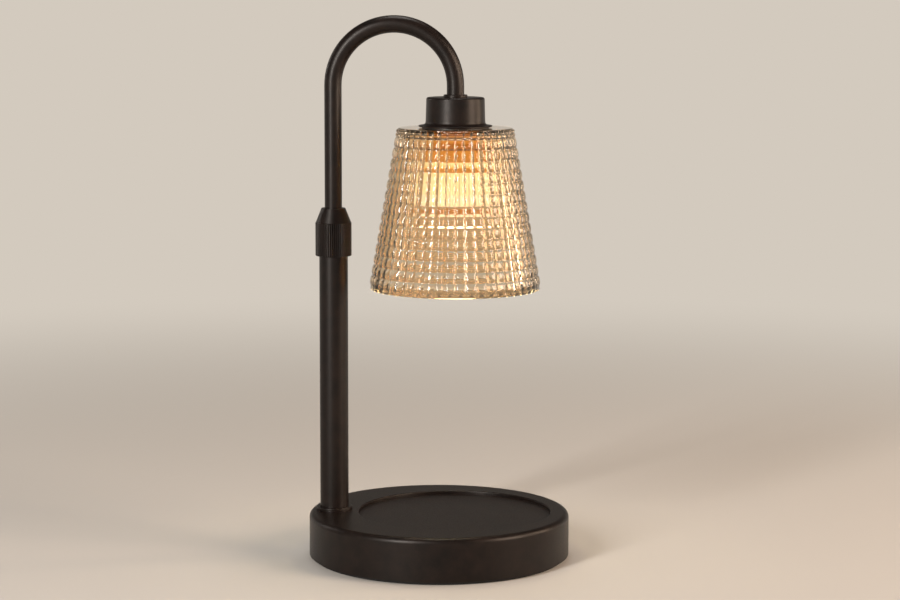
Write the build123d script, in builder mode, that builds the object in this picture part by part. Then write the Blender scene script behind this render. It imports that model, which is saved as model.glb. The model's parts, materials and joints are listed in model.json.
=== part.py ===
from build123d import *
import os
from math import sqrt

# Candle warmer lamp, in millimetres. The origin is the middle of the base's underside, +Z is up, and the arm
# lies in the XZ plane: the post stands at -X and the shade hangs over the dish at +X. The front is -Y.

os.makedirs("parts", exist_ok=True)

# ---------------------------------------------------------------- driving dimensions

# clearances
press_clear = 0.02
thread_clear = 0.06
running_clear = 0.05
slip_clear = 0.15
loose_clear = 0.3

# base housing
base_d = 150
base_h = 26.4
shell_wall = 1.5
shell_edge_r = 3
dish_depth = 1.8
dish_lip_r = 0.6

# along the base's top from the edge behind the post: to the post's axis, on to the dish, and past the dish
post_inset = 14.1
dish_gap = 14.2
dish_land = 10.5

# pad and cover under the base
pad_t = 2
pad_inset = 2.5
pad_edge_r = 0.5
cover_t = 2

# cast weight in the base, with legs that take the cover's screws
ballast_t = 8
ballast_gap = 1
ballast_boss_d = 21
ballast_web_t = 4
ballast_notch_w = 23
leg_d = 10
leg_inset = 19
leg_count = 4
leg_first_angle = 45

# cover screws, M3 countersunk
cover_screw_d = 3
cover_screw_head_d = 5.6
cover_screw_l = 12
screw_slot_w = 0.8
screw_slot_depth = 0.6

# inlet for the supply cord, in the rear wall
inlet_bore_d = 6
inlet_neck_d = 8
inlet_flange_d = 10.6
inlet_flange_t = 1.5

# post
post_od = 16.4
post_wall = 1
post_l = 151.9
foot_ring_od = 20.6
foot_ring_h = 2
foot_ring_edge_r = 0.5
foot_plug_l = 14

# hollow stud, washer and nut that hold the post to the base, M10
stud_d = 10
stud_bore_d = 6.4
stud_in_plug = 12
stud_spare = 1
washer_d = 20
washer_t = 1.5
post_nut_af = 14
post_nut_t = 4

# ferrule in the post's top: spigot in the tube, thread above it, tapered seat in its mouth
spigot_l = 18
spigot_bore_d = 10.5
ferrule_thread_d = 15.6
ferrule_thread_l = 12

# split collet, a double cone
collet_d = 13
collet_end_d = 11.4
collet_cone_l = 3.5
collet_mid_l = 2
collet_slit_w = 1
cone_clear = 0.1

# locking collar
collar_skirt_l = 4
collar_d = 20.7
collar_knurl_l = 19.3
collar_cone_d = 20.2
collar_top_d = 13.7
collar_cone_l = 8.1
collar_hole_d = 10.6
collar_squeeze = 1.6
collar_chamfer = 0.4
knurl_count = 50
knurl_depth = 0.4

# upper tube with its half-circle bend
arm_od = 9.9
arm_wall = 0.9
bend_z = 271.5
drop_l = 4.8

# travel of the arm, up and down from where it stands
travel_up = 40

# guide bush and the circlips that hold it
bush_l = 12
clip_t = 1
clip_od = 12.8
clip_groove = 0.3
clip_gap_w = 6
arm_tail = 3

# ring, stud and nut that hold the cup, M8
neck_ring_od = 13.6
neck_ring_h = 1.5
neck_ring_edge_r = 0.4
neck_stud_d = 8
neck_stud_bore_d = 5.2
neck_stud_in_tube = 4.2
neck_stud_spare = 1
neck_nut_af = 12
neck_nut_t = 3

# cup
cup_top_d = 33.2
cup_low_d = 33.9
cup_flange_d = 42
cup_flange_t = 0.9
cup_h = 16.7
cup_flare_h = 2.2
cup_wall = 1.2
cup_edge_r = 1.2

# bracket and its screws, M3
bracket_t = 1
bracket_w = 12
bracket_h = 10
bracket_span = 24
bracket_foot_in = 5
holder_screw_d = 3
holder_screw_head_d = 5.4
holder_screw_head_t = 2
holder_screw_pitch = 16
holder_screw_l = 13

# ceramic lampholder in two halves
holder_lip = 2.3
holder_cap_h = 6
holder_d = 28
holder_cap_d = 26
holder_floor_t = 3.5
holder_hollow_d = 18.6
holder_boss_d = 7

# shade, its washers and its ring
gasket_t = 0.6
gasket_od = 38
gasket_fit = 0.3
ring_od = 38
ring_t = 4
ring_notch_w = 4
ring_notch_depth = 2
ring_notch_count = 6
shade_h = 92
shade_top_r = 33.1
shade_low_r = 49.2
shade_wall = 3.2
shade_top_t = 3
shade_corner_r = 2
shade_hole_d = 29
shade_row_h = 6.1
shade_row_bulge = 0.5

# twist-lock pins of the halogen lamp
pin_pitch = 10
pin_neck_d = 3
pin_head_d = 5
pin_neck_l = 4.3
pin_head_l = 2.7
pin_slot_clear = 0.3
lamp_twist = 25
lamp_seat_gap = 0.3
contact_t = 1
contact_gap = 0.3
contact_boss_d = 3

# halogen lamp
lamp_base_l = 25
lamp_base_w = 17
lamp_base_h = 11.7
lamp_spigot_d = 15
lamp_spigot_h = 4
reflector_neck_d = 25
reflector_d = 35
reflector_h = 26
reflector_rim_h = 3
reflector_wall = 1.2
bowl_dirs = [(0.45, -1), (0.08, -1)]
lens_t = 2
capsule_d = 9
capsule_l = 18

# leads
lead_d = 2
lead_spread = 1.3
lead_bend_r = 6
lead_fan_r = 20
lead_fan_x = 14
lead_grip = 4
slack_gap = 1.6

# terminal block and its screws
block_l = 18
block_w = 17
block_h = 10.8
block_from_post = 24
block_pitch = 8
block_bore_d = 5
insert_wall = 1
insert_l = 14
insert_screw_pitch = 8
terminal_screw_d = 2.5
block_screw_d = 3
block_screw_head_d = 5
block_screw_head_t = 1.8
block_screw_bite = 5

# ---------------------------------------------------------------- heights and places worked out from them

base_r = base_d / 2
post_x = post_inset - base_r
dish_d = base_d - post_inset - dish_gap - dish_land
arm_reach = dish_gap + dish_d / 2
lamp_x = post_x + arm_reach
leg_circle_r = base_r - leg_inset
cover_top_z = pad_t + cover_t
shell_under_z = base_h - shell_wall
dish_z = base_h - dish_depth
ballast_top_z = dish_z - shell_wall
ballast_z = ballast_top_z - ballast_t
ballast_r = base_r - shell_wall - ballast_gap
web_under_z = shell_under_z - ballast_web_t
nut_top_z = web_under_z - washer_t
stud_end_z = nut_top_z - post_nut_t - stud_spare
stud_top_z = base_h + stud_in_plug
lead_z = stud_end_z - lead_bend_r
inlet_z = (cover_top_z + ballast_z) / 2

post_id = post_od - 2 * post_wall
post_top_z = base_h + post_l
ferrule_top_z = post_top_z + ferrule_thread_l
spigot_z = post_top_z - spigot_l
collet_mid_z = ferrule_top_z
collet_cone_z = collet_mid_z + collet_mid_l
collet_top_z = collet_cone_z + collet_cone_l
collar_z = post_top_z - collar_skirt_l
collar_cone_z = collar_z + collar_knurl_l
collar_top_z = collar_cone_z + collar_cone_l

arm_id = arm_od - 2 * arm_wall
bend_r = arm_reach / 2
clip_top_z = spigot_z - travel_up - loose_clear
bush_top_z = clip_top_z - clip_t - running_clear
bush_z = bush_top_z - bush_l
clip_low_z = bush_z - running_clear - clip_t
arm_low_z = clip_low_z - arm_tail
arm_end_z = bend_z - drop_l

cup_top_z = arm_end_z - neck_ring_h
cup_under_z = cup_top_z - cup_wall
cup_flange_z = cup_top_z - cup_h
bracket_web_z = cup_under_z - bracket_t
neck_nut_z = bracket_web_z - neck_nut_t
neck_stud_z = neck_nut_z - neck_stud_spare
shade_top_z = cup_flange_z - gasket_t
shade_z = shade_top_z - shade_h
shade_top_under_z = shade_top_z - shade_top_t
ring_top_z = shade_top_under_z - gasket_t
holder_top_z = cup_under_z - bracket_h
holder_z = ring_top_z - ring_t - holder_lip
cap_z = holder_top_z - holder_cap_h
holder_floor_z = holder_z + holder_floor_t
foot_top_z = holder_top_z + bracket_t
contact_z = cap_z - contact_t

lamp_top_z = holder_z - lamp_seat_gap
pin_head_z = lamp_top_z + pin_neck_l
pin_top_z = pin_head_z + pin_head_l
lamp_base_z = lamp_top_z - lamp_base_h
reflector_z = lamp_base_z - reflector_h
slack_z = stud_top_z + slack_gap

block_x = post_x + block_from_post + block_l / 2
block_z = ballast_z - block_h

# upright planes and axes of the turned pieces
post_side = Plane(origin=(post_x, 0, 0), x_dir=(1, 0, 0), z_dir=(0, -1, 0))
lamp_side = Plane(origin=(lamp_x, 0, 0), x_dir=(1, 0, 0), z_dir=(0, -1, 0))
post_axis = Axis((post_x, 0, 0), (0, 0, 1))
lamp_axis = Axis((lamp_x, 0, 0), (0, 0, 1))

# ---------------------------------------------------------------- base housing and what closes it

# pressed steel housing, open below, with the dish pressed into its top under the shade
with BuildPart() as base_shell:
    with BuildSketch(Plane.XY.offset(pad_t)):
        Circle(base_r)
    extrude(amount=base_h - pad_t)
    fillet(base_shell.edges().filter_by(GeomType.CIRCLE).group_by(Axis.Z)[-1], shell_edge_r)
    with BuildSketch(Plane.XY.offset(pad_t)):
        Circle(base_r - shell_wall)
    extrude(amount=shell_under_z - pad_t, mode=Mode.SUBTRACT)
    with BuildSketch(Plane.XY.offset(ballast_top_z)):
        with Locations((lamp_x, 0)):
            Circle(dish_d / 2 + shell_wall)
    extrude(amount=shell_under_z - ballast_top_z)
    with BuildSketch(Plane.XY.offset(dish_z)):
        with Locations((lamp_x, 0)):
            Circle(dish_d / 2)
    extrude(amount=dish_depth, mode=Mode.SUBTRACT)
    dish_rim = base_shell.edges().filter_by(GeomType.CIRCLE).group_by(Axis.Z)[-1]
    fillet(dish_rim.sort_by(SortBy.RADIUS)[0], dish_lip_r)
    with Locations((post_x, 0, base_h)):
        Hole(stud_d / 2 + slip_clear, depth=shell_wall)
    with BuildSketch(Plane.XZ.offset(-base_r)):
        with Locations((0, inlet_z)):
            Circle(inlet_neck_d / 2 + running_clear)
    extrude(amount=2 * shell_wall, mode=Mode.SUBTRACT)
base_shell.part.label = "base_shell"
export_step(base_shell.part, "parts/base_shell.step")

# foam pad that the lamp stands on
with BuildPart() as foot_pad:
    with BuildSketch():
        Circle(base_r - pad_inset)
    extrude(amount=pad_t)
    fillet(foot_pad.edges().group_by(Axis.Z)[0], pad_edge_r)
foot_pad.part.label = "foot_pad"
export_step(foot_pad.part, "parts/foot_pad.step")

# sheet cover, flush with the housing's lower edge, countersunk for its screws
with BuildPart() as bottom_plate:
    with BuildSketch(Plane.XY.offset(pad_t)):
        Circle(base_r - shell_wall - loose_clear)
    extrude(amount=cover_t)
    with Locations(Plane((0, 0, pad_t), z_dir=(0, 0, -1))):
        with PolarLocations(leg_circle_r, leg_count, start_angle=leg_first_angle):
            CounterSinkHole(
                cover_screw_d / 2 + slip_clear, cover_screw_head_d / 2 + slip_clear, depth=cover_t
            )
bottom_plate.part.label = "bottom_plate"
export_step(bottom_plate.part, "parts/bottom_plate.step")

# countersunk screws that hold the cover to the weight's legs
with BuildPart() as cover_screws:
    with PolarLocations(leg_circle_r, leg_count, start_angle=leg_first_angle):
        with Locations((0, 0, pad_t)):
            Cylinder(cover_screw_d / 2, cover_screw_l, align=(Align.CENTER, Align.CENTER, Align.MIN))
            Cone(
                cover_screw_head_d / 2,
                cover_screw_d / 2,
                (cover_screw_head_d - cover_screw_d) / 2,
                align=(Align.CENTER, Align.CENTER, Align.MIN),
            )
            Box(
                cover_screw_head_d,
                screw_slot_w,
                screw_slot_depth,
                align=(Align.CENTER, Align.CENTER, Align.MIN),
                mode=Mode.SUBTRACT,
            )
cover_screws.part.label = "cover_screws"
export_step(cover_screws.part, "parts/cover_screws.step")

# cast weight: a disc under the dish, a boss under the post, legs down to the cover, a notch for the nut
with BuildPart() as ballast_plate:
    with BuildSketch(Plane.XY.offset(ballast_z)):
        Circle(ballast_r)
    extrude(amount=ballast_t)
    with BuildSketch(Plane.XY.offset(ballast_top_z)):
        with Locations((post_x, 0)):
            Circle(ballast_boss_d / 2)
    extrude(amount=shell_under_z - ballast_top_z)
    with BuildSketch(Plane.XY.offset(cover_top_z)):
        with PolarLocations(leg_circle_r, leg_count, start_angle=leg_first_angle):
            Circle(leg_d / 2)
    extrude(amount=ballast_z - cover_top_z)
    with BuildSketch(Plane.XY.offset(ballast_z)):
        with Locations((post_x, 0)):
            Circle(ballast_notch_w / 2)
        with Locations((post_x - ballast_r / 2, 0)):
            Rectangle(ballast_r, ballast_notch_w)
    extrude(amount=web_under_z - ballast_z, mode=Mode.SUBTRACT)
    with Locations((post_x, 0, shell_under_z)):
        Hole(stud_d / 2 + slip_clear, depth=shell_under_z - web_under_z)
    with BuildSketch(Plane.XY.offset(cover_top_z)):
        with PolarLocations(leg_circle_r, leg_count, start_angle=leg_first_angle):
            Circle(cover_screw_d / 2 + thread_clear)
    extrude(amount=pad_t + cover_screw_l + loose_clear - cover_top_z, mode=Mode.SUBTRACT)
    with BuildSketch(Plane.XY.offset(ballast_z)):
        with Locations((block_x, 0)):
            Circle(block_screw_d / 2 + thread_clear)
    extrude(amount=block_screw_bite + loose_clear, mode=Mode.SUBTRACT)
ballast_plate.part.label = "ballast_plate"
export_step(ballast_plate.part, "parts/ballast_plate.step")

# rubber bush in the rear wall for the supply cord, flanged on both sides of the wall
with BuildPart() as cord_grommet:
    inlet_flange_r = inlet_flange_d / 2
    inlet_in_y = sqrt((base_r - shell_wall) ** 2 - inlet_flange_r**2) - running_clear
    with BuildSketch(Plane.XZ.offset(-base_r)):
        with Locations((0, inlet_z)):
            Circle(inlet_flange_r)
    extrude(amount=-inlet_flange_t)
    with BuildSketch(Plane.XZ.offset(-base_r)):
        with Locations((0, inlet_z)):
            Circle(inlet_neck_d / 2)
    extrude(amount=base_r - inlet_in_y)
    with BuildSketch(Plane.XZ.offset(-inlet_in_y)):
        with Locations((0, inlet_z)):
            Circle(inlet_flange_r)
    extrude(amount=inlet_flange_t)
    inlet_l = base_r + inlet_flange_t - (inlet_in_y - inlet_flange_t)
    with BuildSketch(Plane.XZ.offset(-base_r - inlet_flange_t)):
        with Locations((0, inlet_z)):
            Circle(inlet_bore_d / 2)
    extrude(amount=inlet_l, mode=Mode.SUBTRACT)
cord_grommet.part.label = "cord_grommet"
export_step(cord_grommet.part, "parts/cord_grommet.step")

# ---------------------------------------------------------------- terminal block under the weight

# insulating block with two wire tunnels along X, a well for each clamping screw and a hole for its own screw
with BuildPart() as terminal_block:
    with Locations((block_x, 0, block_z)):
        Box(block_l, block_w, block_h, align=(Align.CENTER, Align.CENTER, Align.MIN))
    with BuildSketch(Plane.YZ.offset(block_x - block_l / 2)):
        with Locations((-block_pitch / 2, lead_z), (block_pitch / 2, lead_z)):
            Circle(block_bore_d / 2)
    extrude(amount=block_l, mode=Mode.SUBTRACT)
    with BuildSketch(Plane.XY.offset(block_z)):
        with Locations((block_x, 0)):
            with GridLocations(insert_screw_pitch, block_pitch, 2, 2):
                Circle(terminal_screw_d / 2 + slip_clear)
    extrude(amount=lead_z - block_z, mode=Mode.SUBTRACT)
    with Locations(Plane((block_x, 0, block_z), z_dir=(0, 0, -1))):
        CounterBoreHole(
            block_screw_d / 2 + slip_clear,
            block_screw_head_d / 2 + slip_clear,
            block_screw_head_t + slip_clear,
            depth=block_h,
        )
terminal_block.part.label = "terminal_block"
export_step(terminal_block.part, "parts/terminal_block.step")

# brass barrels in the tunnels, drilled for the clamping screws
insert_r = block_bore_d / 2 - running_clear
with BuildPart() as terminal_inserts:
    with BuildSketch(Plane.YZ.offset(block_x - insert_l / 2)):
        with Locations((-block_pitch / 2, lead_z), (block_pitch / 2, lead_z)):
            Circle(insert_r)
            Circle(insert_r - insert_wall, mode=Mode.SUBTRACT)
    extrude(amount=insert_l)
    with BuildSketch(Plane.XY.offset(lead_z - insert_r)):
        with Locations((block_x, 0)):
            with GridLocations(insert_screw_pitch, block_pitch, 2, 2):
                Circle(terminal_screw_d / 2 + thread_clear)
    extrude(amount=insert_r, mode=Mode.SUBTRACT)
terminal_inserts.part.label = "terminal_inserts"
export_step(terminal_inserts.part, "parts/terminal_inserts.step")

# clamping screws, from the block's underside up to the leads
terminal_screw_z = block_z + screw_slot_depth
with BuildPart() as terminal_screws:
    with Locations((block_x, 0, terminal_screw_z)):
        with GridLocations(insert_screw_pitch, block_pitch, 2, 2):
            Cylinder(
                terminal_screw_d / 2,
                lead_z - lead_d / 2 - thread_clear - terminal_screw_z,
                align=(Align.CENTER, Align.CENTER, Align.MIN),
            )
            Box(
                terminal_screw_d,
                screw_slot_w,
                screw_slot_depth,
                align=(Align.CENTER, Align.CENTER, Align.MIN),
                mode=Mode.SUBTRACT,
            )
terminal_screws.part.label = "terminal_screws"
export_step(terminal_screws.part, "parts/terminal_screws.step")

# screw that hangs the block from the weight, its head sunk in the block
with BuildPart() as block_screw:
    with Locations((block_x, 0, block_z + slip_clear)):
        Cylinder(
            block_screw_head_d / 2, block_screw_head_t, align=(Align.CENTER, Align.CENTER, Align.MIN)
        )
        Box(
            block_screw_head_d,
            screw_slot_w,
            screw_slot_depth,
            align=(Align.CENTER, Align.CENTER, Align.MIN),
            mode=Mode.SUBTRACT,
        )
    with BuildSketch(Plane.XY.offset(block_z + slip_clear + block_screw_head_t)):
        with Locations((block_x, 0)):
            Circle(block_screw_d / 2)
    extrude(amount=ballast_z + block_screw_bite - block_z - slip_clear - block_screw_head_t)
block_screw.part.label = "block_screw"
export_step(block_screw.part, "parts/block_screw.step")

# ---------------------------------------------------------------- post

# trim ring on the housing, round the post's foot
with BuildPart() as post_foot_ring:
    with BuildSketch(Plane.XY.offset(base_h)):
        with Locations((post_x, 0)):
            Circle(foot_ring_od / 2)
            Circle(post_od / 2 + slip_clear, mode=Mode.SUBTRACT)
    extrude(amount=foot_ring_h)
    fillet(post_foot_ring.edges().group_by(Axis.Z)[-1].sort_by(SortBy.RADIUS)[-1], foot_ring_edge_r)
post_foot_ring.part.label = "post_foot_ring"
export_step(post_foot_ring.part, "parts/post_foot_ring.step")

# wide lower tube
with BuildPart() as post_tube:
    with BuildSketch(Plane.XY.offset(base_h)):
        with Locations((post_x, 0)):
            Circle(post_od / 2)
            Circle(post_id / 2, mode=Mode.SUBTRACT)
    extrude(amount=post_l)
post_tube.part.label = "post_tube"
export_step(post_tube.part, "parts/post_tube.step")

# plug pressed into the tube's lower end, tapped for the stud
with BuildPart() as post_foot_plug:
    with BuildSketch(Plane.XY.offset(base_h)):
        with Locations((post_x, 0)):
            Circle(post_id / 2 - press_clear)
            Circle(stud_d / 2 + thread_clear, mode=Mode.SUBTRACT)
    extrude(amount=foot_plug_l)
post_foot_plug.part.label = "post_foot_plug"
export_step(post_foot_plug.part, "parts/post_foot_plug.step")

# hollow stud through the housing and the weight
with BuildPart() as post_nipple:
    with BuildSketch(Plane.XY.offset(stud_end_z)):
        with Locations((post_x, 0)):
            Circle(stud_d / 2)
            Circle(stud_bore_d / 2, mode=Mode.SUBTRACT)
    extrude(amount=stud_top_z - stud_end_z)
post_nipple.part.label = "post_nipple"
export_step(post_nipple.part, "parts/post_nipple.step")

# washer and nut under the weight's web
with BuildPart() as post_washer:
    with BuildSketch(Plane.XY.offset(nut_top_z)):
        with Locations((post_x, 0)):
            Circle(washer_d / 2)
            Circle(stud_d / 2 + slip_clear, mode=Mode.SUBTRACT)
    extrude(amount=washer_t)
post_washer.part.label = "post_washer"
export_step(post_washer.part, "parts/post_washer.step")

with BuildPart() as post_nut:
    with BuildSketch(Plane.XY.offset(nut_top_z - post_nut_t)):
        with Locations((post_x, 0)):
            RegularPolygon(post_nut_af / 2, 6, major_radius=False)
            Circle(stud_d / 2 + thread_clear, mode=Mode.SUBTRACT)
    extrude(amount=post_nut_t)
post_nut.part.label = "post_nut"
export_step(post_nut.part, "parts/post_nut.step")

# ferrule in the tube's top: spigot, shoulder on the tube, thread for the collar, tapered seat for the collet
with BuildPart() as post_ferrule:
    with BuildSketch(post_side):
        with BuildLine():
            Polyline(
                (spigot_bore_d / 2, spigot_z),
                (post_id / 2 - press_clear, spigot_z),
                (post_id / 2 - press_clear, post_top_z),
                (ferrule_thread_d / 2, post_top_z),
                (ferrule_thread_d / 2, ferrule_top_z),
                (collet_d / 2 + cone_clear, ferrule_top_z),
                (collet_end_d / 2 + cone_clear, ferrule_top_z - collet_cone_l),
                (collet_end_d / 2 + cone_clear, ferrule_top_z - collet_cone_l - loose_clear),
                (spigot_bore_d / 2, ferrule_top_z - collet_cone_l - loose_clear),
                close=True,
            )
        make_face()
    revolve(axis=post_axis)
post_ferrule.part.label = "post_ferrule"
export_step(post_ferrule.part, "parts/post_ferrule.step")

# ---------------------------------------------------------------- lock: collet and collar

# nylon collet, slit on one side, with a cone at each end
with BuildPart() as collet:
    with BuildSketch(post_side):
        with BuildLine():
            Polyline(
                (arm_od / 2 + running_clear, ferrule_top_z - collet_cone_l),
                (collet_end_d / 2, ferrule_top_z - collet_cone_l),
                (collet_d / 2, collet_mid_z),
                (collet_d / 2, collet_cone_z),
                (collet_end_d / 2, collet_top_z),
                (arm_od / 2 + running_clear, collet_top_z),
                close=True,
            )
        make_face()
    revolve(axis=post_axis)
    with BuildSketch(Plane.XY.offset(ferrule_top_z - collet_cone_l)):
        with Locations((post_x + collet_d / 4, 0)):
            Rectangle(collet_d / 2, collet_slit_w)
    extrude(amount=collet_top_z - ferrule_top_z + collet_cone_l, mode=Mode.SUBTRACT)
collet.part.label = "collet"
export_step(collet.part, "parts/collet.step")

# knurled collar: skirt over the tube, thread on the ferrule, cone that presses on the collet
collar_step_z = collet_cone_z - cone_clear
with BuildPart() as lock_collar:
    with BuildSketch(post_side):
        with BuildLine():
            Polyline(
                (post_od / 2 + loose_clear, collar_z),
                (collar_d / 2 - collar_chamfer, collar_z),
                (collar_d / 2, collar_z + collar_chamfer),
                (collar_d / 2, collar_cone_z - collar_chamfer),
                (collar_cone_d / 2, collar_cone_z),
                (collar_top_d / 2, collar_top_z),
                (collar_hole_d / 2, collar_top_z),
                (collar_hole_d / 2, collet_top_z + cone_clear),
                (collet_end_d / 2 + cone_clear, collet_top_z + cone_clear),
                (collet_end_d / 2 + cone_clear, collet_top_z),
                (collet_d / 2 + cone_clear, collet_cone_z),
                (collet_d / 2 + cone_clear, collar_step_z),
                (ferrule_thread_d / 2 + slip_clear, collar_step_z),
                (ferrule_thread_d / 2 + slip_clear, post_top_z + collar_squeeze),
                (post_od / 2 + loose_clear, post_top_z + collar_squeeze),
                close=True,
            )
        make_face()
    revolve(axis=post_axis)
    with BuildSketch(Plane.XY.offset(collar_z)):
        with Locations((post_x, 0)):
            with PolarLocations(collar_d / 2, knurl_count):
                RegularPolygon(knurl_depth, 4)
    extrude(amount=collar_cone_z - collar_z, mode=Mode.SUBTRACT)
lock_collar.part.label = "lock_collar"
export_step(lock_collar.part, "parts/lock_collar.step")

# ---------------------------------------------------------------- sliding carriage in the post

# nylon bush that slides in the post and lets the upper tube turn in it
with BuildPart() as guide_bush:
    with BuildSketch(Plane.XY.offset(bush_z)):
        with Locations((post_x, 0)):
            Circle(post_id / 2 - running_clear)
            Circle(arm_od / 2 + running_clear, mode=Mode.SUBTRACT)
    extrude(amount=bush_l)
guide_bush.part.label = "guide_bush"
export_step(guide_bush.part, "parts/guide_bush.step")

# the leads' slack between the stud and the upper tube, which lengthens and shortens as the arm slides
with BuildPart() as slack_leads:
    with BuildSketch(Plane.XY.offset(slack_z)):
        with Locations((post_x, -lead_spread), (post_x, lead_spread)):
            Circle(lead_d / 2)
    extrude(amount=arm_low_z - slack_z)
slack_leads.part.label = "slack_leads"
export_step(slack_leads.part, "parts/slack_leads.step")

# ---------------------------------------------------------------- arm

# circlips in grooves above and below the guide bush
with BuildPart() as bush_clips:
    with BuildSketch(Plane.XY.offset(clip_low_z), Plane.XY.offset(clip_top_z - clip_t)):
        with Locations((post_x, 0)):
            Circle(clip_od / 2)
            Circle(arm_od / 2 - clip_groove + running_clear, mode=Mode.SUBTRACT)
        with Locations((post_x + clip_od / 2, 0)):
            Rectangle(clip_od, clip_gap_w, mode=Mode.SUBTRACT)
    extrude(amount=clip_t)
bush_clips.part.label = "bush_clips"
export_step(bush_clips.part, "parts/bush_clips.step")

# upper tube: straight in the post, half a circle over the dish, short drop to the cup
with BuildPart() as gooseneck_tube:
    with BuildLine() as gooseneck_line:
        rise = Line((post_x, 0, arm_low_z), (post_x, 0, bend_z))
        bend = ThreePointArc(rise @ 1, (post_x + bend_r, 0, bend_z + bend_r), (lamp_x, 0, bend_z))
        Line(bend @ 1, (lamp_x, 0, arm_end_z))
    with BuildSketch(Plane.XY.offset(arm_low_z)):
        with Locations((post_x, 0)):
            Circle(arm_od / 2)
            Circle(arm_id / 2, mode=Mode.SUBTRACT)
    sweep(path=gooseneck_line.line)
    with BuildSketch(Plane.XY.offset(clip_low_z), Plane.XY.offset(clip_top_z - clip_t)):
        with Locations((post_x, 0)):
            Circle(arm_od)
            Circle(arm_od / 2 - clip_groove, mode=Mode.SUBTRACT)
    extrude(amount=clip_t, mode=Mode.SUBTRACT)
gooseneck_tube.part.label = "gooseneck_tube"
export_step(gooseneck_tube.part, "parts/gooseneck_tube.step")

# small ring between the tube's end and the cup
with BuildPart() as neck_ring:
    with BuildSketch(Plane.XY.offset(cup_top_z)):
        with Locations((lamp_x, 0)):
            Circle(neck_ring_od / 2)
            Circle(neck_stud_d / 2 + slip_clear, mode=Mode.SUBTRACT)
    extrude(amount=neck_ring_h)
    fillet(neck_ring.edges().group_by(Axis.Z)[-1].sort_by(SortBy.RADIUS)[-1], neck_ring_edge_r)
neck_ring.part.label = "neck_ring"
export_step(neck_ring.part, "parts/neck_ring.step")

# hollow stud in the tube's end
with BuildPart() as neck_nipple:
    with BuildSketch(Plane.XY.offset(neck_stud_z)):
        with Locations((lamp_x, 0)):
            Circle(neck_stud_d / 2)
            Circle(neck_stud_bore_d / 2, mode=Mode.SUBTRACT)
    extrude(amount=arm_end_z + neck_stud_in_tube - neck_stud_z)
neck_nipple.part.label = "neck_nipple"
export_step(neck_nipple.part, "parts/neck_nipple.step")

with BuildPart() as neck_nut:
    with BuildSketch(Plane.XY.offset(neck_nut_z)):
        with Locations((lamp_x, 0)):
            RegularPolygon(neck_nut_af / 2, 6, major_radius=False)
            Circle(neck_stud_d / 2 + thread_clear, mode=Mode.SUBTRACT)
    extrude(amount=neck_nut_t)
neck_nut.part.label = "neck_nut"
export_step(neck_nut.part, "parts/neck_nut.step")

# cup: slightly tapered wall, then a hollow flare out to a thin flange on the glass
cup_flare_z = cup_flange_z + cup_flange_t
cup_low_z = cup_flare_z + cup_flare_h
cup_lip_x = cup_flange_d / 2 - cup_flange_t / 2
with BuildPart() as socket_cup:
    with BuildSketch(lamp_side):
        with BuildLine():
            top = Line((neck_stud_d / 2 + slip_clear, cup_top_z), (cup_top_d / 2 - cup_edge_r, cup_top_z))
            edge = TangentArc(top @ 1, (cup_top_d / 2, cup_top_z - cup_edge_r), tangent=top % 1)
            wall = Line(edge @ 1, (cup_low_d / 2, cup_low_z))
            flare = Spline(wall @ 1, (cup_lip_x, cup_flare_z), tangents=[wall % 1, (1, 0)])
            lip = CenterArc((cup_lip_x, cup_flare_z - cup_flange_t / 2), cup_flange_t / 2, 90, -180)
            Polyline(
                lip @ 1,
                (cup_low_d / 2 - cup_wall, cup_flange_z),
                (cup_low_d / 2 - cup_wall, cup_low_z),
                (cup_top_d / 2 - cup_wall, cup_under_z),
                (neck_stud_d / 2 + slip_clear, cup_under_z),
                top @ 0,
            )
        make_face()
    revolve(axis=lamp_axis)
socket_cup.part.label = "socket_cup"
export_step(socket_cup.part, "parts/socket_cup.step")

# steel bracket: web under the cup's top, a leg each side of the nut, feet turned in onto the lampholder
with BuildPart() as holder_bracket:
    with BuildSketch(Plane(origin=(lamp_x - bracket_w / 2, 0, 0), x_dir=(0, 1, 0), z_dir=(1, 0, 0))):
        with BuildLine():
            Polyline(
                (bracket_foot_in, holder_top_z),
                (bracket_span / 2, holder_top_z),
                (bracket_span / 2, cup_under_z),
                (-bracket_span / 2, cup_under_z),
                (-bracket_span / 2, holder_top_z),
                (-bracket_foot_in, holder_top_z),
                (-bracket_foot_in, foot_top_z),
                (bracket_t - bracket_span / 2, foot_top_z),
                (bracket_t - bracket_span / 2, bracket_web_z),
                (bracket_span / 2 - bracket_t, bracket_web_z),
                (bracket_span / 2 - bracket_t, foot_top_z),
                (bracket_foot_in, foot_top_z),
                close=True,
            )
        make_face()
    extrude(amount=bracket_w)
    with BuildSketch(Plane.XY.offset(bracket_web_z)):
        with Locations((lamp_x, 0)):
            Circle(neck_stud_d / 2 + slip_clear)
    extrude(amount=bracket_t, mode=Mode.SUBTRACT)
    with BuildSketch(Plane.XY.offset(holder_top_z)):
        with Locations((lamp_x, -holder_screw_pitch / 2), (lamp_x, holder_screw_pitch / 2)):
            Circle(holder_screw_d / 2 + slip_clear)
    extrude(amount=bracket_t, mode=Mode.SUBTRACT)
holder_bracket.part.label = "holder_bracket"
export_step(holder_bracket.part, "parts/holder_bracket.step")

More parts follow.
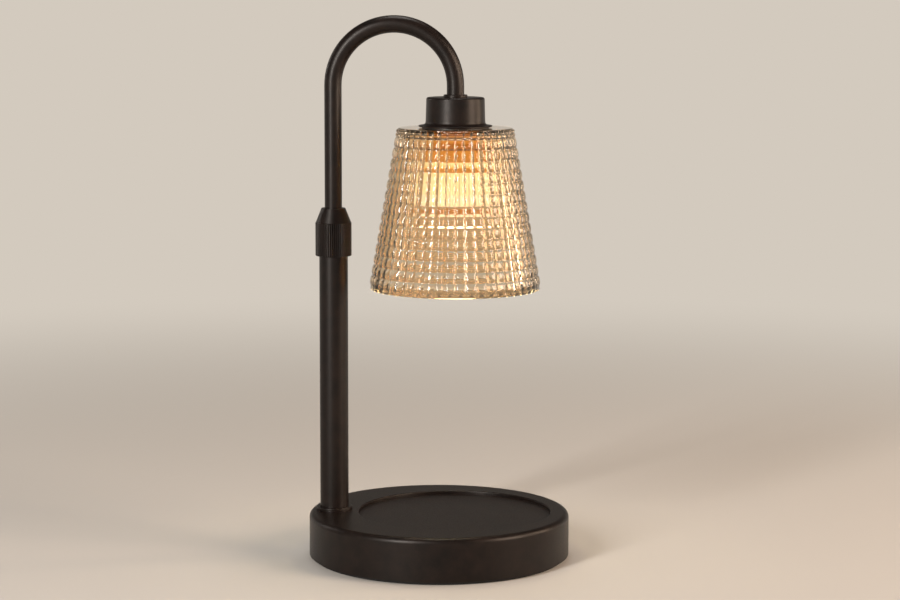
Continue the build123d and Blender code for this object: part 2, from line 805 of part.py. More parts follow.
# screws through the bracket's feet and the cap into the lampholder
with BuildPart() as holder_screws:
    with BuildSketch(Plane.XY.offset(foot_top_z - holder_screw_l)):
        with Locations((lamp_x, -holder_screw_pitch / 2), (lamp_x, holder_screw_pitch / 2)):
            Circle(holder_screw_d / 2)
    extrude(amount=holder_screw_l)
    with BuildSketch(Plane.XY.offset(foot_top_z)):
        with Locations((lamp_x, -holder_screw_pitch / 2), (lamp_x, holder_screw_pitch / 2)):
            Circle(holder_screw_head_d / 2)
    extrude(amount=holder_screw_head_t)
    with BuildSketch(Plane.XY.offset(foot_top_z + holder_screw_head_t)):
        with Locations((lamp_x, -holder_screw_pitch / 2), (lamp_x, holder_screw_pitch / 2)):
            Rectangle(holder_screw_head_d, screw_slot_w)
    extrude(amount=-screw_slot_depth, mode=Mode.SUBTRACT)
holder_screws.part.label = "holder_screws"
export_step(holder_screws.part, "parts/holder_screws.step")

# ---------------------------------------------------------------- lampholder

# lower half: outside thread for the shade ring, hollow for the pins, two keyhole slots in its floor;
# the wide end of each slot lets a pin's head in, and the narrow arc holds its neck
pin_r = pin_pitch / 2
slot_w = pin_neck_d + 2 * pin_slot_clear
with BuildPart() as lampholder_body:
    with BuildSketch(Plane.XY.offset(holder_z)):
        with Locations((lamp_x, 0)):
            Circle(holder_d / 2)
    extrude(amount=cap_z - holder_z)
    with BuildSketch(Plane.XY.offset(holder_floor_z)):
        with Locations((lamp_x, 0)):
            Circle(holder_hollow_d / 2)
            with Locations((0, -holder_screw_pitch / 2), (0, holder_screw_pitch / 2)):
                Circle(holder_boss_d / 2, mode=Mode.SUBTRACT)
    extrude(amount=cap_z - holder_floor_z, mode=Mode.SUBTRACT)
    with BuildSketch(Plane.XY.offset(foot_top_z - holder_screw_l - loose_clear)):
        with Locations((lamp_x, -holder_screw_pitch / 2), (lamp_x, holder_screw_pitch / 2)):
            Circle(holder_screw_d / 2 + thread_clear)
    extrude(amount=cap_z - foot_top_z + holder_screw_l + loose_clear, mode=Mode.SUBTRACT)
    with BuildSketch(Plane.XY.offset(holder_z)):
        with Locations((lamp_x, 0)):
            for slot_start in (-lamp_twist, 180 - lamp_twist):
                with BuildLine():
                    slot_arc = CenterArc((0, 0), pin_r, slot_start, lamp_twist)
                SlotArc(slot_arc, slot_w)
                with Locations(slot_arc @ 0):
                    Circle(pin_head_d / 2 + pin_slot_clear)
    extrude(amount=holder_floor_t, mode=Mode.SUBTRACT)
lampholder_body.part.label = "lampholder_body"
export_step(lampholder_body.part, "parts/lampholder_body.step")

# upper half, with a hole for each lead
with BuildPart() as lampholder_cap:
    with BuildSketch(Plane.XY.offset(cap_z)):
        with Locations((lamp_x, 0)):
            Circle(holder_cap_d / 2)
        with Locations((lamp_x, -holder_screw_pitch / 2), (lamp_x, holder_screw_pitch / 2)):
            Circle(holder_screw_d / 2 + slip_clear, mode=Mode.SUBTRACT)
        with Locations((lamp_x, -lead_spread), (lamp_x, lead_spread)):
            Circle(lead_d / 2 + slip_clear, mode=Mode.SUBTRACT)
    extrude(amount=holder_cap_h)
lampholder_cap.part.label = "lampholder_cap"
export_step(lampholder_cap.part, "parts/lampholder_cap.step")

# brass contacts: a bar from each lead's end out over a pin, with a boss down to the pin's head
bar_in = lead_spread - lead_d / 2
bar_out = lead_spread + lead_d / 2
with BuildPart() as holder_contacts:
    for side in (1, -1):
        with BuildSketch(Plane.XY.offset(contact_z)):
            with Locations((lamp_x + side * pin_r / 2, side * (bar_in + bar_out) / 2)):
                Rectangle(pin_r + lead_d, bar_out - bar_in)
            with Locations((lamp_x + side * pin_r, 0)):
                Circle(bar_out)
        extrude(amount=contact_t)
        with BuildSketch(Plane.XY.offset(pin_top_z + contact_gap)):
            with Locations((lamp_x + side * pin_r, 0)):
                Circle(contact_boss_d / 2)
        extrude(amount=contact_z - pin_top_z - contact_gap)
holder_contacts.part.label = "holder_contacts"
export_step(holder_contacts.part, "parts/holder_contacts.step")

# ---------------------------------------------------------------- leads

# from the barrels in the terminal block, down past the stud's end, and up through it into the post
with BuildPart() as base_leads:
    lead_start_x = block_x - insert_l / 2 + lead_grip
    for side in (1, -1):
        with BuildLine() as base_lead_line:
            FilletPolyline(
                (post_x, side * lead_spread, slack_z),
                (post_x, side * lead_spread, lead_z),
                (post_x + lead_fan_x, side * block_pitch / 2, lead_z),
                (lead_start_x, side * block_pitch / 2, lead_z),
                radius=[lead_bend_r, lead_fan_r],
            )
        with BuildSketch(Plane((post_x, side * lead_spread, slack_z), z_dir=(0, 0, -1))):
            Circle(lead_d / 2)
        sweep(path=base_lead_line.line)
base_leads.part.label = "base_leads"
export_step(base_leads.part, "parts/base_leads.step")

# through the upper tube, round its bend and down to the lampholder's contacts
with BuildPart() as arm_leads:
    for side in (1, -1):
        with BuildLine() as arm_lead_line:
            lead_y = side * lead_spread
            rise = Line((post_x, lead_y, arm_low_z), (post_x, lead_y, bend_z))
            bend = ThreePointArc(
                rise @ 1, (post_x + bend_r, lead_y, bend_z + bend_r), (lamp_x, lead_y, bend_z)
            )
            Line(bend @ 1, (lamp_x, lead_y, cap_z))
        with BuildSketch(Plane.XY.offset(arm_low_z)):
            with Locations((post_x, lead_y)):
                Circle(lead_d / 2)
        sweep(path=arm_lead_line.line)
arm_leads.part.label = "arm_leads"
export_step(arm_leads.part, "parts/arm_leads.step")

# ---------------------------------------------------------------- shade and what clamps it

# silicone washers above and below the glass
with BuildPart() as shade_gaskets:
    with BuildSketch(Plane.XY.offset(shade_top_z), Plane.XY.offset(ring_top_z)):
        with Locations((lamp_x, 0)):
            Circle(gasket_od / 2)
            Circle(shade_hole_d / 2 + gasket_fit, mode=Mode.SUBTRACT)
    extrude(amount=gasket_t)
shade_gaskets.part.label = "shade_gaskets"
export_step(shade_gaskets.part, "parts/shade_gaskets.step")

# threaded ring on the lampholder, notched for the fingers
with BuildPart() as shade_ring:
    with BuildSketch(Plane.XY.offset(ring_top_z - ring_t)):
        with Locations((lamp_x, 0)):
            Circle(ring_od / 2)
            Circle(holder_d / 2 + thread_clear, mode=Mode.SUBTRACT)
            with PolarLocations(ring_od / 2, ring_notch_count):
                SlotCenterToCenter(2 * ring_notch_depth - ring_notch_w / 2, ring_notch_w, mode=Mode.SUBTRACT)
    extrude(amount=ring_t)
shade_ring.part.label = "shade_ring"
export_step(shade_ring.part, "parts/shade_ring.step")

# pressed glass: a smooth cone inside, rows of rounded ribs outside from the rim to the rounded top corner
shade_taper = (shade_low_r - shade_top_r) / shade_h
row_count = int((shade_h - shade_corner_r) / shade_row_h)
row_h = (shade_h - shade_corner_r) / row_count


def cone_r(height):
    """Outer radius of the shade's cone, at a height above its rim."""
    return shade_low_r - shade_taper * height


with BuildPart() as glass_shade:
    with BuildSketch(lamp_side):
        with BuildLine():
            for row in range(row_count):
                low = (cone_r(row * row_h), shade_z + row * row_h)
                high = (cone_r((row + 1) * row_h), shade_z + (row + 1) * row_h)
                SagittaArc(low, high, -shade_row_bulge)
            corner = CenterArc((high[0] - shade_corner_r, high[1]), shade_corner_r, 0, 90)
            Polyline(
                corner @ 1,
                (shade_hole_d / 2, shade_top_z),
                (shade_hole_d / 2, shade_top_under_z),
                (cone_r(shade_h - shade_top_t) - shade_wall, shade_top_under_z),
                (shade_low_r - shade_wall, shade_z),
                (cone_r(0), shade_z),
            )
        make_face()
    revolve(axis=lamp_axis)
glass_shade.part.label = "glass_shade"
export_step(glass_shade.part, "parts/glass_shade.step")

# ---------------------------------------------------------------- halogen lamp

# ceramic base with flattened sides, and a spigot down into the reflector's neck
with BuildPart() as bulb_base:
    with BuildSketch(Plane.XY.offset(lamp_base_z)):
        with Locations((lamp_x, 0)):
            Circle(lamp_base_l / 2)
            Rectangle(lamp_base_l, lamp_base_w, mode=Mode.INTERSECT)
    extrude(amount=lamp_base_h)
    with BuildSketch(Plane.XY.offset(lamp_base_z - lamp_spigot_h)):
        with Locations((lamp_x, 0)):
            Circle(lamp_spigot_d / 2)
    extrude(amount=lamp_spigot_h)
bulb_base.part.label = "bulb_base"
export_step(bulb_base.part, "parts/bulb_base.step")

# two pins with heads
with BuildPart() as bulb_pins:
    with BuildSketch(Plane.XY.offset(lamp_top_z)):
        with Locations((lamp_x - pin_r, 0), (lamp_x + pin_r, 0)):
            Circle(pin_neck_d / 2)
    extrude(amount=pin_neck_l)
    with BuildSketch(Plane.XY.offset(pin_head_z)):
        with Locations((lamp_x - pin_r, 0), (lamp_x + pin_r, 0)):
            Circle(pin_head_d / 2)
    extrude(amount=pin_head_l)
bulb_pins.part.label = "bulb_pins"
export_step(bulb_pins.part, "parts/bulb_pins.step")

# glass reflector: neck at the base, a bowl of even wall, a short straight rim
rim_z = reflector_z + reflector_rim_h
neck_r = reflector_neck_d / 2
with BuildPart() as bulb_reflector:
    with BuildSketch(lamp_side):
        with BuildLine():
            bowl_out = Spline((neck_r, lamp_base_z), (reflector_d / 2, rim_z), tangents=bowl_dirs)
            bowl_in = Spline(
                (neck_r - reflector_wall, lamp_base_z - reflector_wall),
                (reflector_d / 2 - reflector_wall, rim_z),
                tangents=bowl_dirs,
            )
            Polyline(
                bowl_out @ 0,
                (lamp_spigot_d / 2 + running_clear, lamp_base_z),
                (lamp_spigot_d / 2 + running_clear, lamp_base_z - reflector_wall),
                bowl_in @ 0,
            )
            Polyline(
                bowl_out @ 1,
                (reflector_d / 2, reflector_z),
                (reflector_d / 2 - reflector_wall, reflector_z),
                bowl_in @ 1,
            )
        make_face()
    revolve(axis=lamp_axis)
bulb_reflector.part.label = "bulb_reflector"
export_step(bulb_reflector.part, "parts/bulb_reflector.step")

# front glass in the rim
with BuildPart() as bulb_lens:
    with BuildSketch(Plane.XY.offset(rim_z - lens_t)):
        with Locations((lamp_x, 0)):
            Circle(reflector_d / 2 - reflector_wall - running_clear)
    extrude(amount=lens_t)
bulb_lens.part.label = "bulb_lens"
export_step(bulb_lens.part, "parts/bulb_lens.step")

# quartz capsule, held by the base's spigot
with BuildPart() as bulb_capsule:
    with BuildSketch(Plane.XY.offset(lamp_base_z - lamp_spigot_h - capsule_l)):
        with Locations((lamp_x, 0)):
            Circle(capsule_d / 2)
    extrude(amount=capsule_l)
    fillet(bulb_capsule.edges().group_by(Axis.Z)[0], capsule_d / 2 - loose_clear)
bulb_capsule.part.label = "bulb_capsule"
export_step(bulb_capsule.part, "parts/bulb_capsule.step")
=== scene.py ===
import json
import math

import bpy
import numpy as np
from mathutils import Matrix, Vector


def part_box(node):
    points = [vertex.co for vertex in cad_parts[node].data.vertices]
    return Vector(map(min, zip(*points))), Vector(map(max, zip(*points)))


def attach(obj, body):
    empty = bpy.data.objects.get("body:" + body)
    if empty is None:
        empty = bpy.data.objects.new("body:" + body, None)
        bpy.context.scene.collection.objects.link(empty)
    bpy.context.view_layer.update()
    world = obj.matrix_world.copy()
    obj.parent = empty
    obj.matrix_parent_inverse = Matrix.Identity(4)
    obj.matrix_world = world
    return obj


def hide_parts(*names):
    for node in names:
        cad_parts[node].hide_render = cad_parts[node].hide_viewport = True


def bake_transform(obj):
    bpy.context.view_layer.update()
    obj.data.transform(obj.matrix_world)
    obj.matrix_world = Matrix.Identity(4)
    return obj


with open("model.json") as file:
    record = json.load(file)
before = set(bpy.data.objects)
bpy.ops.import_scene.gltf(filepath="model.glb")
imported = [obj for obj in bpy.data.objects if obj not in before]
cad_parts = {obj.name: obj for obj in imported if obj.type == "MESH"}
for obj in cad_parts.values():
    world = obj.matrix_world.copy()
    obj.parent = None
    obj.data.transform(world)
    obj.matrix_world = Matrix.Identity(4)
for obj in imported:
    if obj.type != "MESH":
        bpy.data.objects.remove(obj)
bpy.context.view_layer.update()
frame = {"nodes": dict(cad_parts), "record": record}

print("frame loaded:", len(frame["nodes"]), "nodes")


# an sRGB hex colour to linear: a channel is divided by 12.92 below 0.04045, and above it
# 0.055 is added, the sum divided by 1.055 and raised to 2.4
def linear(code):
    channels = [int(code[i:i + 2], 16) / 255 for i in (1, 3, 5)]
    return tuple(c / 12.92 if c < 0.04045 else ((c + 0.055) / 1.055) ** 2.4 for c in channels) + (1.0,)


# adds a node, gives its sockets their values, sets its own settings and links it to what feeds it.
# Stops are the colours of a ramp, each (place along the ramp, hex code).
def addNode(tree, kind, values=None, links=None, stops=(), **settings):
    node = tree.nodes.new(kind)
    for name, value in settings.items():
        setattr(node, name, value)
    for socket, value in (values or {}).items():
        node.inputs[socket].default_value = value
    for socket, source in (links or {}).items():
        tree.links.new(source, node.inputs[socket])
    # a new ramp has two stops, and the others are added in rising order
    for number, (place, code) in enumerate(stops):
        elements = node.color_ramp.elements
        stop = elements[number] if number < 2 else elements.new(place)
        stop.position = place
        stop.color = linear(code)
    return node


def startMaterial(name):
    material = bpy.data.materials.new(name)
    material.use_nodes = True
    material.node_tree.nodes.clear()
    return material, material.node_tree


# ---- camera

cameraView = {
    "azimuth": 3.8,  # degrees, to the right of the lamp's front
    "distance": 1.4,  # metres from the lamp's axis of the base, along the floor
    "height": 0.3313,
    "pitch": 7.41,  # degrees below level
    "heading": 3.57,  # degrees, left of straight back
    "roll": -0.125,  # degrees, anticlockwise
    "focal": 2463.5, "imageWidth": 900,  # in pixels
    "sensor": 36,  # millimetres wide
    "reach": 100,  # metres that it sees
}

cameraData = bpy.data.cameras.new("camera")
cameraData.sensor_width = cameraView["sensor"]
cameraData.lens = cameraView["focal"] / cameraView["imageWidth"] * cameraView["sensor"]
cameraData.clip_end = cameraView["reach"]
camera = bpy.data.objects.new("camera", cameraData)
around = math.radians(cameraView["azimuth"])
camera.location = (
    math.sin(around) * cameraView["distance"],
    -math.cos(around) * cameraView["distance"],
    cameraView["height"],
)
camera.rotation_euler = (
    math.radians(90 - cameraView["pitch"]),
    math.radians(cameraView["roll"]),
    math.radians(cameraView["heading"]),
)
bpy.context.scene.collection.objects.link(camera)
bpy.context.scene.camera = camera
print("camera set")


# ---- meshes

# quads over a grid of points: each joins a point, the next one in its row and the same two in the
# next row. The volume under the faces, a third of the sum of centre . area vector, says which way
# they point, and they are turned over if it is negative.
def makeSurface(name, points, roundColumns=True, roundRows=False):
    rows, columns = points.shape[:2]
    index = np.arange(rows * columns).reshape(rows, columns)
    if roundColumns:
        index = np.hstack([index, index[:, :1]])
    if roundRows:
        index = np.vstack([index, index[:1]])
    quads = np.stack([index[:-1, :-1], index[:-1, 1:], index[1:, 1:], index[1:, :-1]], -1).reshape(-1, 4)
    places = points.reshape(-1, 3)
    corners = places[quads]
    areas = np.cross(corners[:, 2] - corners[:, 0], corners[:, 3] - corners[:, 1]) / 2
    if (corners.mean(1) * areas).sum() < 0:
        quads = quads[:, ::-1]
    mesh = bpy.data.meshes.new(name)
    mesh.vertices.add(len(places))
    mesh.vertices.foreach_set("co", places.astype(np.float32).ravel())
    mesh.loops.add(quads.size)
    mesh.loops.foreach_set("vertex_index", quads.astype(np.int32).ravel())
    mesh.polygons.add(len(quads))
    mesh.polygons.foreach_set("loop_start", np.arange(0, quads.size, 4, dtype=np.int32))
    mesh.polygons.foreach_set("loop_total", np.full(len(quads), 4, np.int32))
    mesh.update(calc_edges=True)
    mesh.validate()
    mesh.polygons.foreach_set("use_smooth", np.ones(len(mesh.polygons), bool))
    piece = bpy.data.objects.new(name, mesh)
    bpy.context.scene.collection.objects.link(piece)
    return piece


# ---- finishes

# polyester powder coat, matt black, sprayed and baked on steel: a fine sandy grain that breaks up
# the soft highlights, and slightly browner where the coat is thin
powderCoat = {
    "dark": "#080504", "light": "#18100d", "grain": 0.8, "relief": 0.05, "mottle": 7.0,
    "roughness": (0.33, 0.43), "gloss": 0.22,
}


def makePowderCoat(settings):
    material, tree = startMaterial("powderCoatMattBlack")
    place = addNode(tree, "ShaderNodeTexCoord").outputs["Object"]
    # grains of 0.3 mm are drawn 0.8 mm across, so that they show
    grain = addNode(tree, "ShaderNodeTexNoise", {
        "Scale": 1000 / settings["grain"], "Detail": 3, "Roughness": 0.6,
    }, {"Vector": place})
    mottle = addNode(tree, "ShaderNodeTexNoise", {"Scale": 1000 / settings["mottle"], "Detail": 2},
                     {"Vector": place})
    mixed = addNode(tree, "ShaderNodeMath", {1: 0.5}, {0: grain.outputs["Fac"], 2: mottle.outputs["Fac"]},
                    operation="MULTIPLY_ADD")
    tone = addNode(tree, "ShaderNodeValToRGB", links={"Fac": mixed.outputs[0]},
                   stops=[(0.45, settings["dark"]), (1.0, settings["light"])])
    gloss = addNode(tree, "ShaderNodeMapRange", {
        "From Min": 0.3, "From Max": 0.7,
        "To Min": settings["roughness"][0], "To Max": settings["roughness"][1],
    }, {"Value": grain.outputs["Fac"]})
    bump = addNode(tree, "ShaderNodeBump", {"Strength": 0.5, "Distance": settings["relief"] / 1000},
                   {"Height": grain.outputs["Fac"]})
    shader = addNode(tree, "ShaderNodeBsdfPrincipled", {
        "IOR": 1.5, "Specular IOR Level": settings["gloss"],
    }, {
        "Base Color": tone.outputs["Color"], "Roughness": gloss.outputs["Result"],
        "Normal": bump.outputs["Normal"],
    })
    addNode(tree, "ShaderNodeOutputMaterial", links={"Surface": shader.outputs[0]})
    return material


# soda-lime glass, pressed in a mould: clear with a faint warm tint, and a skin that the mould left
# very slightly wavy
pressedGlass = {
    "tint": "#ffe5c2", "thin": "#fff0d6", "roughness": 0.02, "wave": 4.0, "relief": 0.01,
}


def makePressedGlass(settings):
    material, tree = startMaterial("sodaLimeGlassPressed")
    place = addNode(tree, "ShaderNodeTexCoord").outputs["Object"]
    wave = addNode(tree, "ShaderNodeTexNoise", {"Scale": 1000 / settings["wave"], "Detail": 1},
                   {"Vector": place})
    bump = addNode(tree, "ShaderNodeBump", {"Strength": 0.4, "Distance": settings["relief"] / 1000},
                   {"Height": wave.outputs["Fac"]})
    tone = addNode(tree, "ShaderNodeValToRGB", links={"Fac": wave.outputs["Fac"]},
                   stops=[(0.3, settings["tint"]), (0.8, settings["thin"])])
    shader = addNode(tree, "ShaderNodeBsdfPrincipled", {
        "IOR": 1.52, "Roughness": settings["roughness"], "Transmission Weight": 1.0,
    }, {"Base Color": tone.outputs["Color"], "Normal": bump.outputs["Normal"]})
    addNode(tree, "ShaderNodeOutputMaterial", links={"Surface": shader.outputs[0]})
    return material


# a plain finish: two tones in a noise of a given size in millimetres, which also breaks up the
# roughness and raises the skin by a given height in millimetres; stretch draws the noise out along an axis
def makeFinish(name, dark, light, size, relief, roughness, metallic=0.0, stretch=(1, 1, 1), glow=None,
               glowStrength=0.0, clear=0.0, ior=1.5, detail=4):
    material, tree = startMaterial(name)
    place = addNode(tree, "ShaderNodeTexCoord").outputs["Object"]
    drawn = addNode(tree, "ShaderNodeMapping", {"Scale": tuple(1 / s for s in stretch)}, {"Vector": place})
    noise = addNode(tree, "ShaderNodeTexNoise", {"Scale": 1000 / size, "Detail": detail, "Roughness": 0.55},
                    {"Vector": drawn.outputs[0]})
    tone = addNode(tree, "ShaderNodeValToRGB", links={"Fac": noise.outputs["Fac"]},
                   stops=[(0.3, dark), (0.7, light)])
    gloss = addNode(tree, "ShaderNodeMapRange", {
        "From Min": 0.3, "From Max": 0.7, "To Min": roughness[0], "To Max": roughness[1],
    }, {"Value": noise.outputs["Fac"]})
    bump = addNode(tree, "ShaderNodeBump", {"Strength": 0.5, "Distance": relief / 1000},
                   {"Height": noise.outputs["Fac"]})
    values = {"Metallic": metallic, "IOR": ior, "Transmission Weight": clear}
    if glow:
        values["Emission Color"] = linear(glow)
        values["Emission Strength"] = glowStrength
    shader = addNode(tree, "ShaderNodeBsdfPrincipled", values, {
        "Base Color": tone.outputs["Color"], "Roughness": gloss.outputs["Result"],
        "Normal": bump.outputs["Normal"],
    })
    addNode(tree, "ShaderNodeOutputMaterial", links={"Surface": shader.outputs[0]})
    return material


finishes = {
    "black_coat": makePowderCoat(powderCoat),
    # EVA foam, closed cells about 0.5 mm across, cut from sheet: dull and slightly pitted
    "pad_foam": makeFinish("evaFoamCut", "#141414", "#222222", 1.2, 0.12, (0.85, 0.95)),
    # sheet steel, zinc plated: pale, with the faint bluish spangle of bright zinc
    "cover_steel": makeFinish("zincPlatedSheet", "#9a9da0", "#b4b6b8", 6.0, 0.01, (0.30, 0.42),
                              metallic=1.0),
    # screws and studs, zinc plated and tumbled
    "screw_steel": makeFinish("zincPlatedTurned", "#a3a29c", "#bdbbb3", 1.5, 0.02, (0.28, 0.42),
                              metallic=1.0, stretch=(6, 6, 1)),
    # ring of turned steel, drawn browner than it is for the light of the lamp below it
    "ring_steel": makeFinish("darkPlatedTurned", "#94795a", "#b09470", 1.5, 0.02, (0.30, 0.42),
                             metallic=1.0, stretch=(6, 6, 1)),
    # grey iron, sand cast: rough skin with grains of sand 0.5 to 1 mm across
    "cast_weight": makeFinish("greyIronSandCast", "#2b2a29", "#45423f", 1.6, 0.25, (0.60, 0.80),
                              metallic=0.6),
    # EPDM rubber, moulded: dull black with a smooth skin
    "grommet_rubber": makeFinish("epdmRubberMoulded", "#151515", "#1f1f1f", 2.5, 0.02, (0.62, 0.72)),
    # polyamide, moulded: off-white, satin
    "block_plastic": makeFinish("polyamideMouldedWhite", "#ddd9cd", "#e8e5da", 4.0, 0.02, (0.42, 0.5)),
    # free-cutting brass, turned: fine rings left by the tool
    "contact_brass": makeFinish("brassTurned", "#b8954c", "#d0ad60", 1.0, 0.02, (0.25, 0.38), metallic=1.0,
                                stretch=(6, 6, 1)),
    "terminal_steel": makeFinish("zincPlatedScrew", "#9f9d97", "#b6b4ac", 1.0, 0.02, (0.30, 0.42),
                                 metallic=1.0),
    # silicone sheath on the leads: off-white, slightly dusty
    "lead_sleeve": makeFinish("siliconeSheath", "#d2cdbf", "#e0dccf", 3.0, 0.03, (0.50, 0.62)),
    # polyamide, moulded, natural colour
    "nylon": makeFinish("polyamideMouldedNatural", "#d9d3c0", "#e6e1d0", 3.0, 0.02, (0.38, 0.48)),
    # steatite, fired without a glaze: chalky with a fine grain. It is off-white; its amber tone and its
    # glow are painted light from the lamp below it
    "holder_ceramic": makeFinish("steatiteFired", "#7d5c34", "#93703f", 1.2, 0.04, (0.60, 0.72),
                                 glow="#c87a1e", glowStrength=0.55),
    # silicone washers, black
    "washer_silicone": makeFinish("siliconeWasher", "#1d1a18", "#2a2623", 2.0, 0.02, (0.40, 0.52)),
    "shade_glass": makePressedGlass(pressedGlass),
    # steatite of the halogen lamp's base, off-white too; its amber tone and its glow are painted light of
    # the lamp it is part of
    "lamp_ceramic": makeFinish("steatiteLampBase", "#96703c", "#ab8448", 1.2, 0.04, (0.55, 0.68),
                               glow="#f0a020", glowStrength=0.4),
    "pin_steel": makeFinish("nickelPlatedPin", "#b4b0a8", "#c9c5bc", 1.0, 0.02, (0.20, 0.32), metallic=1.0),
    # quartz glass of the capsule, white hot inside
    "lamp_glass": makeFinish("quartzGlass", "#fff6e2", "#fffaf0", 3.0, 0.02, (0.04, 0.08),
                             glow="#ffe6a8", glowStrength=3.0, clear=1.0, ior=1.46),
}
slotOf = {entry["node"]: entry["material_slot"] for entry in frame["record"]["subparts"]}
for node, piece in frame["nodes"].items():
    piece.data.materials.clear()
    piece.data.materials.append(finishes[slotOf[node]])
print("finishes set:", len(finishes))


# ---- glass shade

glassShade = {
    "lowRadius": 49.2, "topRadius": 33.1,  # of the plain cone
    "columns": 50,  # cells round the shade
    "rimBand": 2.3, "rowPitch": 6.06, "fullRows": 14, "topRows": 2,  # millimetres along the axis
    "wall": 3.2, "top": 3.0, "corner": 0.6, "hole": 14.5,
    "crest": 0.3,  # how far the middle of a cell stands out from the plain cone
    "upGroove": 0.6, "ringGroove": 0.6,  # depth of the upright grooves and of those round the shade
    "flank": 0.45,  # width of a groove's flank, where half a cell is 1
    "bow": 0.25,  # how far a cell's face falls away to its edges
    "flute": 0.4,  # how deep the upright flutes inside cut into the wall
    "rimRound": 0.9,
    "insideRound": 1.5,  # between the wall and the top, inside
    "fluteEnd": 10,  # length over which a flute runs out at either end of the wall
    "roundSteps": 12, "upSteps": 6,  # quads across a cell
    "roundPoints": 8, "flatPoints": 6, "wallPoints": 16,  # along the rounds, the flats and the wall
}


# the shade is a closed profile carried round the lamp's axis. Its outside is a cone with square
# cells, x and y being the places across a cell, from -1 to 1: radius = cone + crest - dip -
# bow * (x^2 + y^2), and the dip is the deeper of the two grooves, each of which falls evenly from
# nothing at 1 - flank to its depth at 1. Points inside a cell are at -cos of even steps of a half
# turn, so they crowd at the grooves. Inside, the wall's radius grows by flute * x^2 at each column.
def makeGlassShade(settings):
    low, high = (np.array(corner) * 1000 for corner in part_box("glass_shade"))
    middle = (low + high) / 2
    height = high[2] - low[2]
    taper = (settings["lowRadius"] - settings["topRadius"]) / height
    rim, wall, flank = settings["rimRound"], settings["wall"], settings["flank"]
    upIn, roundIn = (
        (1 - np.cos(np.pi * np.arange(steps) / steps)) / 2
        for steps in (settings["upSteps"], settings["roundSteps"])
    )
    inside, flatPoints = settings["insideRound"], settings["flatPoints"]
    patternTop = height - settings["corner"]
    fullTop = settings["rimBand"] + settings["rowPitch"] * settings["fullRows"]
    # full rows above the plain band of the rim, then small ones up to the top corner
    rowEdges = np.concatenate([
        settings["rimBand"] + settings["rowPitch"] * np.arange(settings["fullRows"]),
        np.linspace(fullTop, patternTop, settings["topRows"] + 1),
    ])
    outZ = (rowEdges[:-1, None] + np.diff(rowEdges)[:, None] * upIn).ravel()
    upCell = np.tile(2 * upIn - 1, len(rowEdges) - 1)[:, None]
    roundCell = np.tile(2 * roundIn - 1, settings["columns"])[None, :]
    turn = ((np.arange(settings["columns"])[:, None] + roundIn) / settings["columns"]).ravel() * 2 * np.pi
    upDip = settings["upGroove"] * np.clip(1 - (1 - abs(roundCell)) / flank, 0, 1)
    ringDip = settings["ringGroove"] * np.clip(1 - (1 - abs(upCell)) / flank, 0, 1)
    outR = (settings["lowRadius"] + settings["crest"] - taper * outZ)[:, None]
    outR = outR - np.maximum(upDip, ringDip) - settings["bow"] * (roundCell ** 2 + upCell ** 2)
    # the plain ends of the outside are flush with the middle of the grooves round the shade
    plainLow = settings["lowRadius"] + settings["crest"] - settings["ringGroove"] - settings["bow"]
    quarter = np.linspace(0, np.pi / 2, settings["roundPoints"])
    cornerRadius = plainLow - taper * patternTop - settings["corner"] * (1 - np.cos(quarter))
    cornerZ = patternTop + settings["corner"] * np.sin(quarter)
    underZ = height - settings["top"]
    insideTop = settings["lowRadius"] - taper * underZ - wall
    topFlat = np.linspace(cornerRadius[-1], settings["hole"], flatPoints)[1:]
    underFlat = np.linspace(settings["hole"], insideTop - inside, flatPoints)
    insideCorner = insideTop - inside * (1 - np.sin(quarter[1:]))
    insideCornerZ = underZ - inside * (1 - np.cos(quarter[1:]))
    wallZ = np.linspace(insideCornerZ[-1], rim, settings["wallPoints"])[1:]
    wallR = settings["lowRadius"] - taper * wallZ - wall
    # the flutes run out towards both ends of the wall
    fluteEnds = np.clip(np.minimum(wallZ - rim, insideCornerZ[-1] - wallZ) / settings["fluteEnd"], 0, 1)
    rimInR = settings["lowRadius"] - wall + rim * (1 - np.cos(quarter[1:]))
    rimInZ = rim * (1 - np.sin(quarter[1:]))
    rimOutR = plainLow - rim * (1 - np.sin(quarter[:-1]))
    rimOutZ = rim * (1 - np.cos(quarter[:-1]))
    plainR = np.concatenate([cornerRadius, topFlat, underFlat, insideCorner, wallR, rimInR, rimOutR])
    plainZ = np.concatenate([
        cornerZ, np.full(len(topFlat), height), np.full(len(underFlat), underZ), insideCornerZ, wallZ,
        rimInZ, rimOutZ,
    ])
    fluted = np.zeros(len(plainR))
    wallStart = len(plainR) - len(rimOutR) - len(rimInR) - len(wallR)
    fluted[wallStart:wallStart + len(wallR)] = fluteEnds
    radius = np.vstack([outR, plainR[:, None] + settings["flute"] * fluted[:, None] * roundCell ** 2])
    level = np.concatenate([outZ, plainZ])[:, None] * np.ones(len(turn))
    points = np.stack([
        middle[0] + radius * np.cos(turn), middle[1] + radius * np.sin(turn), low[2] + level,
    ], -1) / 1000
    return makeSurface("glassShade", points, roundRows=True)


shadePiece = makeGlassShade(glassShade)
shadePiece.data.materials.append(finishes["shade_glass"])
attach(shadePiece, "arm")
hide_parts("glass_shade")
print("glass shade made:", len(shadePiece.data.polygons), "faces")


# ---- halogen reflector

